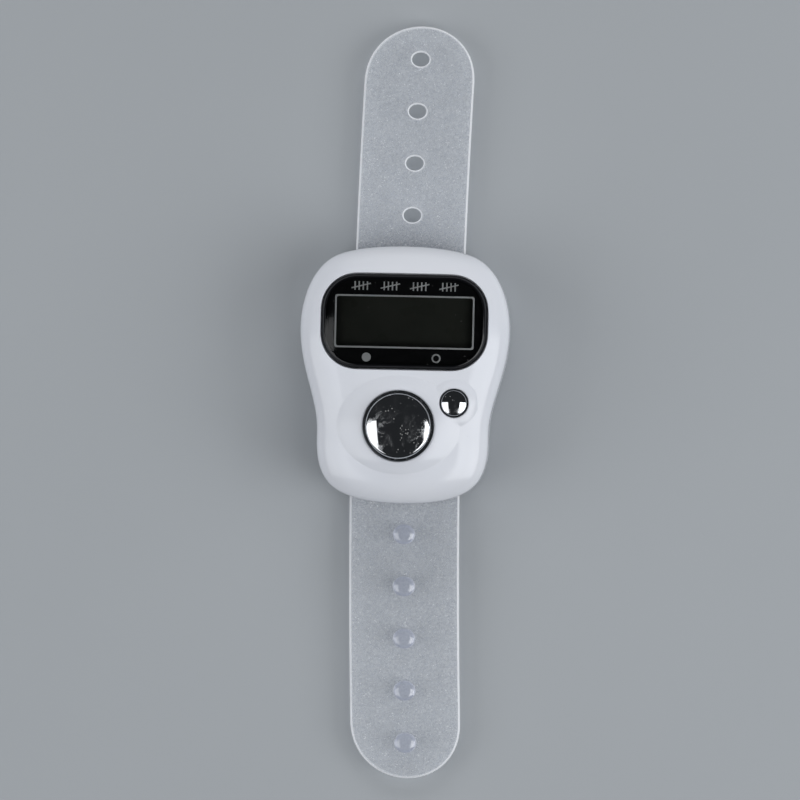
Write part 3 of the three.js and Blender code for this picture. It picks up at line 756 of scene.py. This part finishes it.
def build_dome(button, centre, material, crest_r, keep):
    """A keypad's silicone dome, in its resting shape; its button presses the real one flat."""
    low, high = node_box(f"{button}_dome")
    foot_r, board, crest = (high[0] - low[0]) / 2, low[2], high[2]
    corner = [(crest_r + DOME_SHOULDER * math.sin(turn), crest - DOME_SHOULDER * (1 - math.cos(turn)))
              for turn in np.radians((70, 50, 30, 10, 0))]
    profile = [
        (0, crest - DOME_SKIN), (crest_r - DOME_SKIN / 2, crest - DOME_SKIN),
        (foot_r - DOME_FOOT - DOME_SKIN, board + DOME_SKIN), (foot_r - DOME_FOOT, board),
        (foot_r, board), (foot_r, board + DOME_SKIN), *corner, (0, crest),
    ]
    name, node = f"{button}_keypad_dome", f"{button}_dome"
    dome = build_turned(name, node, "case", centre, profile, material, 64)
    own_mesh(dome)


# -------- band

def band_x(y):
    return BAND_SHIFT + BAND_BOW * (y / BAND_END) ** 2


def band_half_width(y):
    past = np.clip(np.abs(y) - (BAND_END - BAND_END_R), 0, BAND_END_R)
    return BAND_HALF_X * np.sqrt(np.clip(1 - (past / BAND_END_R) ** BAND_END_POWER, 0, 1))


def end_edge(sign):
    """The band's edge round one of its ends, from the right side to the left, with outward normals."""
    along = np.linspace(0, 1, 400)
    y = BAND_END - BAND_END_R + BAND_END_R * np.sin(along * math.pi / 2)
    right = np.column_stack([band_half_width(y), y])
    line = even_steps(np.vstack([right, right[:-1][::-1] * (-1, 1)]), END_POINTS)
    tangent = unit(np.gradient(line, axis=0))
    normals = np.column_stack([tangent[:, 1], -tangent[:, 0]])
    normals[0], normals[-1] = (1, 0), (-1, 0)
    line[:, 0] += band_x(line[:, 1])
    if sign < 0:
        line = (line * (1, -1))[::-1]
        normals = (normals * (1, -1))[::-1]
    return line, normals


def band_edges(low, high):
    """The open edge lines of a stretch of band, anticlockwise, with outward normals."""
    straight = BAND_END - BAND_END_R
    side_low, side_high = max(low, -straight), min(high, straight)
    count = max(2, int(round((side_high - side_low) / SIDE_STEP)) + 1)
    y = np.linspace(side_low, side_high, count)
    east = np.tile((1.0, 0.0), (count, 1))
    right = (np.column_stack([band_x(y) + BAND_HALF_X, y]), east)
    left = (np.column_stack([band_x(y) - BAND_HALF_X, y])[::-1], -east)
    if high <= straight and low >= -straight:
        return [right, left]
    sign, sides = (1, (right, left)) if high > straight else (-1, (left, right))
    end = [part[1:-1] for part in end_edge(sign)]
    return [tuple(np.vstack([sides[0][k], end[k], sides[1][k]]) for k in range(2))]


def oval(centre, rx, ry):
    _, turned = circle(0, 1, OVAL_POINTS)
    return centre + turned * (rx, ry), unit(turned / (rx, ry))


def cut_row(builder, side_a, side_b, z):
    """Inner vertices of a cut line between two edge vertices, from a to b."""
    a, b = builder.plan([side_a, side_b])
    return builder.level(a + (b - a) * np.linspace(0, 1, ACROSS)[1:-1, None], z)


def add_hole(builder, y):
    """A hole with rounded lips; gives back its top and its bottom ring."""
    loop, outward = oval(np.array([band_x(y), y]), *HOLE_OVAL)
    lips = rounding(HOLE_LIP, 4)
    profile = [(grow, BAND_TOP - step) for grow, step in lips]
    profile += [(grow, BAND_BOTTOM + step) for grow, step in reversed(lips)]
    rings = [builder.level(loop + outward * grow, z) for grow, z in profile]
    builder.sweep(rings)
    return rings[0], rings[-1]


def add_stud(builder, y):
    """A mushroom stud; gives back its bottom ring."""
    centre = np.array([band_x(y), y])
    rings = [builder.level(oval(centre, STUD_OVAL[0] * share, STUD_OVAL[1] * share)[0], BAND_TOP + rise)
             for share, rise in STUD_OUTLINE]
    crest = builder.ring([(*centre, BAND_TOP + STUD_TOP)])[0]
    builder.sweep(rings, slot=2)
    builder.fan(rings[-1], crest, slot=2)
    return rings[0]


def build_band_piece(name, low, high, materials, hole_y=None, stud_y=None):
    """A stretch of the band from low to high in Y, with rounded sides and flat cut ends."""
    builder = Builder()
    steps = rounding(BAND_ROUND, 4)
    section = [(inset, BAND_BOTTOM + rise) for inset, rise in steps]
    section += [(rise, BAND_TOP - inset) for inset, rise in steps]
    edges = []
    for line, outward in band_edges(low, high):
        rings = [builder.level(line - outward * inset, z) for inset, z in section]
        builder.sweep(rings, closed=False)
        edges.append(rings)

    borders, cuts = {}, {}
    starts, ends = edges, edges[1:] + edges[:1]
    for level, z in ((0, BAND_BOTTOM), (-1, BAND_TOP)):
        cuts[level] = [cut_row(builder, a[level][-1], b[level][0], z) for a, b in zip(starts, ends)]
        borders[level] = [i for a, row in zip(starts, cuts[level]) for i in a[level] + row]
    for a, b, bottom, top in reversed(list(zip(starts, ends, cuts[0], cuts[-1]))):
        loop = [ring[-1] for ring in a] + top + [ring[0] for ring in b][::-1] + bottom[::-1]
        builder.face(loop[::-1], 1)

    tops, bottoms = [], []
    if hole_y is not None:
        top, bottom = add_hole(builder, hole_y)
        tops.append(top)
        bottoms.append(bottom)
    if stud_y is not None:
        tops.append(add_stud(builder, stud_y))
    for level, z, holes in ((0, BAND_BOTTOM, bottoms), (-1, BAND_TOP, tops)):
        outer = borders[level]
        plan = builder.plan(outer)
        grid = hex_points(plan.min(axis=0), plan.max(axis=0), BAND_GRID)
        grid = keep_clear(grid[inside(grid, plan)], builder.plan(outer, *holes), 0.25)
        builder.fill(outer, holes, grid, lambda xy, z=z: (np.full(len(xy), z), None), down=level == 0)
    piece = builder.make(name, materials, sharp=50)
    return piece


def build_band(materials):
    holes = [HINGES[f"hole_curl_{k}"] for k in range(1, 5)]
    studs = [HINGES[f"stud_curl_{k}"] for k in range(1, 6)]
    core_ends = studs[0] + CUT_LEAD, holes[0] - CUT_LEAD
    core = build_band_piece("band_core", *core_ends, materials, hole_y=holes[0] - PITCH / 2)
    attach(core, "band_middle")
    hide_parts("strap_middle")
    for kind, hinges, side in (("hole", holes, 1), ("stud", studs, -1)):
        cuts = [y - side * CUT_LEAD for y in hinges] + [side * BAND_END]
        for k, y in enumerate(hinges):
            at = {"hole_y": y + PITCH / 2} if kind == "hole" else {"stud_y": FIRST_STUD - PITCH * k}
            ends = sorted(cuts[k:k + 2])
            piece = build_band_piece(f"band_{kind}_{k + 1}", *ends, materials, **at)
            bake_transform(piece)
            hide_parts(f"strap_{kind}_{k + 1}")


# -------- materials

class Paint:
    """A Principled material with helpers for procedural detail."""

    def __init__(self, name, color, roughness, metallic=0.0, **sockets):
        self.material = bpy.data.materials.new(name)
        self.material.use_nodes = True
        self.tree = self.material.node_tree
        self.shader = next(n for n in self.tree.nodes if n.type == "BSDF_PRINCIPLED")
        self.fill(self.shader, Base_Color=(*color, 1), Roughness=roughness, Metallic=metallic, **sockets)
        self.coords = self.tree.nodes.new("ShaderNodeTexCoord").outputs["Object"]
        self.height = None

    def fill(self, node, **sockets):
        """Sets or links a node's inputs by name."""
        for socket, value in sockets.items():
            self.put(node.inputs[socket.replace("_", " ")], value)

    def put(self, socket, value):
        if isinstance(value, bpy.types.NodeSocket):
            self.tree.links.new(value, socket)
        else:
            socket.default_value = value

    def node(self, kind, output=0, settings=(), **sockets):
        """A new node's output, with its inputs set or linked."""
        node = self.tree.nodes.new(kind)
        for key, value in dict(settings).items():
            setattr(node, key, value)
        self.fill(node, **sockets)
        return node.outputs[output]

    def noise(self, scale, detail=3.0, roughness=0.5, distortion=0.0, stretch=None):
        place = self.coords
        if stretch is not None:
            place = self.node("ShaderNodeMapping", Scale=stretch, Vector=place)
        return self.node("ShaderNodeTexNoise", "Fac", Scale=scale, Detail=detail, Roughness=roughness,
                         Distortion=distortion, Vector=place)

    def speckle(self, scale, low, high):
        """White dots at random places: 1 at a dot's middle, 0 outside."""
        distance = self.node("ShaderNodeTexVoronoi", "Distance", Scale=scale, Vector=self.coords)
        return self.remap(distance, low, high, 1, 0)

    def remap(self, value, low, high, to_low=0, to_high=1):
        return self.node("ShaderNodeMapRange", "Result", Value=value, From_Min=low, From_Max=high,
                         To_Min=to_low, To_Max=to_high)

    def math(self, operation, a, b=0):
        result = self.node("ShaderNodeMath", settings={"operation": operation})
        for socket, value in zip(result.node.inputs, (a, b)):
            self.put(socket, value)
        return result

    def blend_colors(self, factor, a, b):
        result = self.node("ShaderNodeMix", 2, {"data_type": "RGBA"}, Factor=factor)
        for socket, value in zip(result.node.inputs[6:8], (a, b)):
            self.put(socket, (*value, 1) if isinstance(value, tuple) else value)
        return result

    def mix(self, share, a, b):
        """A share of shader b over shader a."""
        result = self.node("ShaderNodeMixShader")
        for socket, value in zip(result.node.inputs, (share, a, b)):
            self.put(socket, value)
        return result

    def set(self, **sockets):
        self.fill(self.shader, **sockets)

    def bump(self, height, distance, strength):
        """Adds relief, on top of the relief that is there already."""
        below = {} if self.height is None else {"Normal": self.height}
        self.height = self.node("ShaderNodeBump", Strength=strength, Distance=distance,
                                Height=height, **below)
        self.set(Normal=self.height)

    def finish(self, surface):
        """The material with another surface than its Principled shader."""
        output = next(n for n in self.tree.nodes if n.type == "OUTPUT_MATERIAL")
        self.put(output.inputs["Surface"], surface)
        return self.material


def case_plastic():
    """Glossy white ABS with a faint orange peel, handling haze and a few dark specks."""
    paint = Paint("case_plastic", (0.71, 0.73, 0.78), 0.14, IOR=1.53)
    paint.set(Roughness=paint.remap(paint.noise(180, 4), 0.3, 0.75, 0.10, 0.22))
    cloud = paint.remap(paint.noise(60, 3), 0.35, 0.7)
    tone = paint.blend_colors(cloud, (0.695, 0.715, 0.77), (0.725, 0.74, 0.785))
    rare = paint.remap(paint.noise(330, 0), 0.70, 0.74, 0, 0.55)
    specks = paint.math("MULTIPLY", paint.speckle(420, 0.02, 0.035), rare)
    paint.set(Base_Color=paint.blend_colors(specks, tone, (0.16, 0.15, 0.14)))
    paint.bump(paint.noise(900, 1), 0.000004, 0.5)
    return paint.material


def chrome():
    """Bright plating with fine hairlines, smudges and dust."""
    paint = Paint("chrome", (0.80, 0.81, 0.83), 0.05, metallic=1.0)
    hairs = paint.remap(paint.noise(700, 2, 0.5, 0.3, stretch=(1, 0.06, 1)), 0.64, 0.68)
    hairs_across = paint.remap(paint.noise(700, 2, 0.5, 0.3, stretch=(0.07, 1, 1)), 0.66, 0.70)
    lines = paint.math("MAXIMUM", hairs, hairs_across)
    haze = paint.remap(paint.noise(330, 5, 0.6, 1.5), 0.46, 0.72, 0.03, 0.30)
    paint.set(Roughness=paint.math("ADD", haze, paint.math("MULTIPLY", lines, 0.12)))
    dusty = paint.remap(paint.noise(900, 2), 0.52, 0.6)
    dust = paint.math("MULTIPLY", paint.speckle(2600, 0.10, 0.22), dusty)
    paint.set(Metallic=paint.remap(dust, 0, 1, 1, 0.25))
    paint.set(Base_Color=paint.blend_colors(dust, (0.78, 0.79, 0.81), (0.62, 0.62, 0.60)))
    paint.bump(paint.noise(240, 3), 0.00001, 0.35)
    paint.bump(lines, 0.000003, 0.3)
    return paint.material


def lens_clear():
    """Polished clear acrylic: what lies under it shows, and its skin mirrors, with wipe marks and dust."""
    paint = Paint("lens_clear", (0.93, 0.94, 0.95), 0.02)
    wipe = paint.remap(paint.noise(220, 4, 0.6, 0.8), 0.45, 0.8, 0.02, 0.07)
    dusty = paint.remap(paint.noise(500, 1), 0.55, 0.62)
    dust = paint.math("MULTIPLY", paint.speckle(1500, 0.03, 0.07), dusty)
    skin = paint.node("ShaderNodeBsdfGlossy", Roughness=wipe)
    clear = paint.node("ShaderNodeBsdfTransparent", Color=(0.93, 0.94, 0.95, 1))
    coated = paint.mix(paint.node("ShaderNodeFresnel", IOR=1.49), clear, skin)
    grain = paint.node("ShaderNodeBsdfDiffuse")
    return paint.finish(paint.mix(paint.math("MULTIPLY", dust, 0.5), coated, grain))


def plain(name, color, roughness, metallic=0.0, grain=700, depth=0.00001, spread=0.12, stretch=None,
          **sockets):
    """A moulded, coated or metal surface with varied tone, haze and fine texture."""
    paint = Paint(name, color, roughness, metallic, **sockets)
    tone = paint.noise(grain * 0.3, 4, stretch=stretch)
    dark, light = (tuple(min(1, c * (1 + change)) for c in color) for change in (-spread, spread))
    paint.set(Base_Color=paint.blend_colors(paint.remap(tone, 0.3, 0.7), dark, light))
    haze = paint.noise(grain, 3, stretch=stretch)
    paint.set(Roughness=paint.remap(haze, 0.3, 0.7, max(0.02, roughness - 0.08), roughness + 0.1))
    paint.bump(haze, depth, 0.5)
    return paint.material


def board_mask():
    """Green solder mask with buried copper tracks."""
    paint = Paint("board", (0.02, 0.13, 0.05), 0.35)
    tracks = paint.node("ShaderNodeTexBrick", "Fac", Vector=paint.coords, Scale=420, Mortar_Size=0.08)
    paint.set(Base_Color=paint.blend_colors(tracks, (0.02, 0.12, 0.05), (0.05, 0.22, 0.08)))
    paint.set(Roughness=paint.remap(paint.noise(400), 0.3, 0.7, 0.28, 0.45))
    paint.bump(tracks, 0.00002, 0.6)
    return paint.material


def band_frosted(name, body, roughness, share, rim, grain=1.0, polish=0.0):
    """Frosted translucent TPU: a satin skin with painted glints for its fine sparkle, and a painted rim light that
    whitens it where light leaves its rims.
    """
    paint = Paint(name, body, roughness[1], IOR=1.49)
    white = (0.97, 0.98, 1.0)
    fine = paint.noise(3600, 3, 0.7)
    cloud = paint.remap(paint.noise(160, 4, 0.55), 0.35, 0.7)
    tone = paint.blend_colors(cloud, tuple(c * 0.9 for c in body), body)
    tone = paint.blend_colors(paint.remap(fine, 0.36, 0.66, 0, grain), tone, white)
    # Painted glints: rare white dots in the colour, scaled by grain, stand in for the sparkle of light off the
    # frosted skin; they also make the skin less clear there.
    rare = paint.remap(paint.noise(1500, 1), 0.54, 0.6, 0, grain)
    painted_glints = paint.math("MULTIPLY", paint.speckle(3600, 0.14, 0.3), rare)
    tone = paint.blend_colors(painted_glints, tone, (1.0, 1.0, 1.0))
    # Painted rim light: the colour turns white where the skin stands upright, for light leaving its rims; the same
    # mask makes the skin less clear there.
    normal = paint.node("ShaderNodeTexCoord", "Normal")
    upright = paint.node("ShaderNodeSeparateXYZ", "Z", Vector=normal)
    edge = paint.remap(paint.math("ABSOLUTE", upright), *rim, 0)
    paint.set(Base_Color=paint.blend_colors(edge, tone, white))
    paint.set(Roughness=paint.remap(fine, 0.3, 0.7, *roughness))
    paint.bump(fine, 0.00003, 0.6 * grain)
    glow = paint.node("ShaderNodeBsdfTranslucent", Color=(0.93, 0.95, 0.98, 1))
    frosted = paint.mix(0.35, paint.shader.outputs["BSDF"], glow)
    clear = paint.node("ShaderNodeBsdfTransparent", Color=(0.975, 0.98, 0.99, 1))
    skin = paint.math("ADD", paint.math("MULTIPLY", painted_glints, 0.4), paint.remap(fine, 0.4, 0.62, *share))
    surface = paint.mix(paint.math("MAXIMUM", skin, edge), clear, frosted)
    if polish:
        facing = paint.node("ShaderNodeLayerWeight", "Facing")
        steep = paint.math("MULTIPLY", paint.math("POWER", facing, 4), 0.6)
        gloss = paint.node("ShaderNodeBsdfGlossy", Roughness=0.1)
        surface = paint.mix(paint.math("ADD", steep, polish), surface, gloss)
    return paint.finish(surface)


def unseen():
    """Faces inside clear material, where two stretches of the band meet or light leaves the lens."""
    paint = Paint("clear_joint", (1, 1, 1), 0.5)
    return paint.finish(paint.node("ShaderNodeBsdfTransparent"))


def floor_paper():
    """Smooth pale grey background board."""
    paint = Paint("floor", (0.36, 0.38, 0.40), 0.75)
    cloud = paint.remap(paint.noise(14, 4), 0.3, 0.7)
    paint.set(Base_Color=paint.blend_colors(cloud, (0.355, 0.375, 0.395), (0.365, 0.385, 0.405)))
    paint.bump(paint.noise(900, 3), 0.00002, 0.3)
    return paint.material


def dress_nodes(case_white, silicone):
    """Gives every CAD node that is still shown its procedural finish."""
    dull = {"Specular_IOR_Level": 0.0}
    faint = {"Specular_IOR_Level": 0.05}
    finishes = {
        "case_plastic": case_white,
        "silicone": silicone,
        "board": board_mask(),
        "lens": plain("lens_edge", (0.012, 0.012, 0.014), 0.1),
        "mask_ink": plain("mask_ink", (0.009, 0.009, 0.0095), 0.45, grain=900, spread=0.2, **dull),
        "tape": plain("tape", (0.75, 0.73, 0.66), 0.7, grain=1500, depth=0.00004),
        "film": plain("film", (0.031, 0.033, 0.027), 0.3, grain=200, spread=0.35, **faint),
        "lcd_glass": plain("lcd_glass", (0.022, 0.023, 0.019), 0.1, grain=200, depth=0.000002, **faint),
        "dark_plastic": plain("dark_plastic", (0.03, 0.03, 0.032), 0.5, grain=1800, depth=0.00002),
        "epoxy": plain("epoxy", (0.01, 0.01, 0.012), 0.3, grain=500, spread=0.3, depth=0.00003),
        "smd_ceramic": plain("smd_ceramic", (0.36, 0.24, 0.13), 0.45, grain=1500),
        "carbon_rubber": plain("carbon_rubber", (0.015, 0.015, 0.015), 0.8, grain=2500, depth=0.00003),
        "steel": plain("steel", (0.62, 0.63, 0.65), 0.25, 1.0, grain=900, stretch=(1, 0.1, 1)),
        "seal_nylon": plain("seal_nylon", (0.08, 0.12, 0.24), 0.45, grain=900),
    }
    for part in frame["record"]["subparts"]:
        node = frame["nodes"][part["node"]]
        if not node.hide_render:
            node.data.materials.clear()
            node.data.materials.append(finishes.get(part["material_slot"], case_white))


# -------- stage

def softbox(name, centre, size, lean, power, color, mirrored=True):
    """A rectangular soft box, turned by the angles in lean, in degrees; a fill light isn't mirrored."""
    data = bpy.data.lights.new(name, "AREA")
    data.shape = "RECTANGLE"
    data.size, data.size_y = size
    data.energy = power
    data.color = color
    light = add_object(name, data)
    light.location = centre
    light.rotation_euler = [math.radians(angle) for angle in lean]
    light.visible_glossy = mirrored


def build_stage():
    half = 2.0
    corners = [(-half, -half, 0), (half, -half, 0), (half, half, 0), (-half, half, 0)]
    mesh = bpy.data.meshes.new("floor")
    mesh.from_pydata(corners, [], [(0, 1, 2, 3)])
    floor = add_object("floor", mesh)
    floor.data.materials.append(floor_paper())

    daylight = (0.97, 0.985, 1.0)
    softbox("soft_left", (-0.474, -0.208, 0.46), (0.75, 0.44), (0, -45, 5), 1.56, daylight)
    softbox("soft_right", (0.474, -0.202, 0.46), (0.75, 0.44), (0, 45, -4), 2.62, daylight)
    softbox("low_left", (-0.618, -0.05, 0.329), (0.35, 0.6), (0, -62, 0), 1.48, daylight, False)
    softbox("low_right", (0.618, -0.05, 0.329), (0.35, 0.6), (0, 62, 0), 1.65, daylight, False)
    softbox("soft_top", (0, 0.75, 0.42), (0.9, 0.4), (-60.8, 0, 0), 3.31, daylight, False)

    world = bpy.data.worlds.new("studio")
    world.use_nodes = True
    background = world.node_tree.nodes["Background"]
    background.inputs["Color"].default_value = (0.85, 0.92, 1.0, 1)
    background.inputs["Strength"].default_value = 0.022
    bpy.context.scene.world = world


def build_camera():
    """Straight above, a couple of degrees from the right, and turned a degree."""
    target = Vector((-0.00075, 0.0003, 0.002))
    distance, tilt, roll = 0.42, math.radians(2.2), math.radians(1.28)
    width = 0.1231
    data = bpy.data.cameras.new("camera")
    data.sensor_width = 36
    data.lens = 36 * distance / width
    data.clip_start = 0.01
    camera = add_object("camera", data)
    camera.location = target + Vector((math.sin(tilt), 0, math.cos(tilt))) * distance
    back = (camera.location - target).normalized()
    up = Vector((-math.sin(roll), math.cos(roll), 0))
    right = up.cross(back).normalized()
    up = back.cross(right).normalized()
    camera.rotation_euler = Matrix((right, up, back)).transposed().to_euler()
    bpy.context.scene.camera = camera


# -------- making

build_camera()
build_stage()
case_white = case_plastic()
build_front_case(case_white)
build_back_cover(case_white)
unseen_face = unseen()
lens_rim = plain("lens_rim", (0.004, 0.004, 0.005), 0.08, grain=400, spread=0.2, depth=0.000002)
build_lens(lens_clear(), lens_rim, unseen_face)
build_print(plain("print_silver", (0.74, 0.75, 0.74), 0.5, grain=1500))
build_buttons(chrome())
silicone = plain("silicone", (0.32, 0.34, 0.36), 0.6, grain=900)
build_dome("count", COUNT_C, silicone, *COUNT_DOME)
build_dome("reset", RESET_C, silicone, *RESET_DOME)
# The last tuple of each skin sets its painted rim light: the colour is white where the skin's uprightness is below
# the first value, and fades out by the second.
band_skin = band_frosted("band_tpu", (0.70, 0.73, 0.79), (0.24, 0.45), (0.24, 0.34), (0.90, 0.995, 1))
stud_skin = band_frosted("band_stud", (0.64, 0.68, 0.85), (0.08, 0.18), (0.40, 0.46), (0.10, 0.66, 1.0),
                         grain=0.15, polish=0.12)
build_band([band_skin, unseen_face, stud_skin])
dress_nodes(case_white, silicone)
bpy.context.scene.view_settings.view_transform = "Standard"
